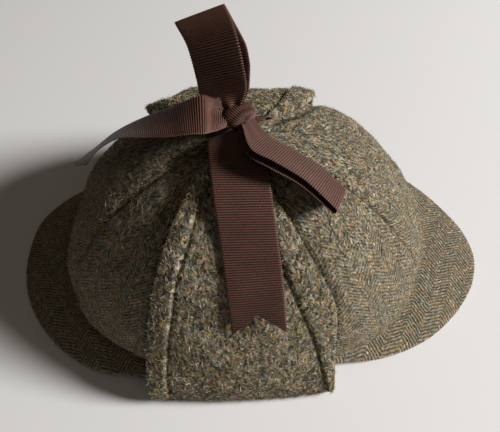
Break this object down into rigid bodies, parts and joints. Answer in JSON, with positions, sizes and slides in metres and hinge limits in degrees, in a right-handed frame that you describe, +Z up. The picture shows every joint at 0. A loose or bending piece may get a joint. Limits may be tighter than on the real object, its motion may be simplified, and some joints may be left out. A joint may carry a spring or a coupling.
{
  "type": "deerstalker hat",
  "caption": "Tweed deerstalker lying crown up, with a peak at each end and ear flaps folded up over the crown and tied on top in a grosgrain ribbon bow.",
  "frame": {"origin": "centre of the bounding box, at the surface that the hat rests on", "axes": "+Z up; +X from peak to peak, toward the right peak of the picture; -Y toward the near ear flap"},
  "size_m": [0.32, 0.2164, 0.1797],
  "materials": {
    "crown_tweed": "rough woven wool",
    "peak_tweed": "rough woven wool",
    "flap_tweed": "brushed woven wool",
    "ribbon": "ribbed grosgrain, slight sheen"
  },
  "bodies": {
    "root": {"crown_panel_1": "crown_tweed", "crown_panel_2": "crown_tweed", "crown_panel_3": "crown_tweed", "crown_panel_4": "crown_tweed", "crown_panel_5": "crown_tweed", "crown_panel_6": "crown_tweed", "crown_panel_7": "crown_tweed", "crown_panel_8": "crown_tweed", "peak_right": "peak_tweed", "peak_left": "peak_tweed", "flap_near": "flap_tweed", "flap_far": "flap_tweed", "ribbon_lead_near": "ribbon", "ribbon_lead_far": "ribbon", "ribbon_knot": "ribbon", "ribbon_loop_up": "ribbon", "ribbon_loop_right": "ribbon", "ribbon_tail_front": "ribbon", "ribbon_tail_left": "ribbon"}
  },
  "joints": []
}
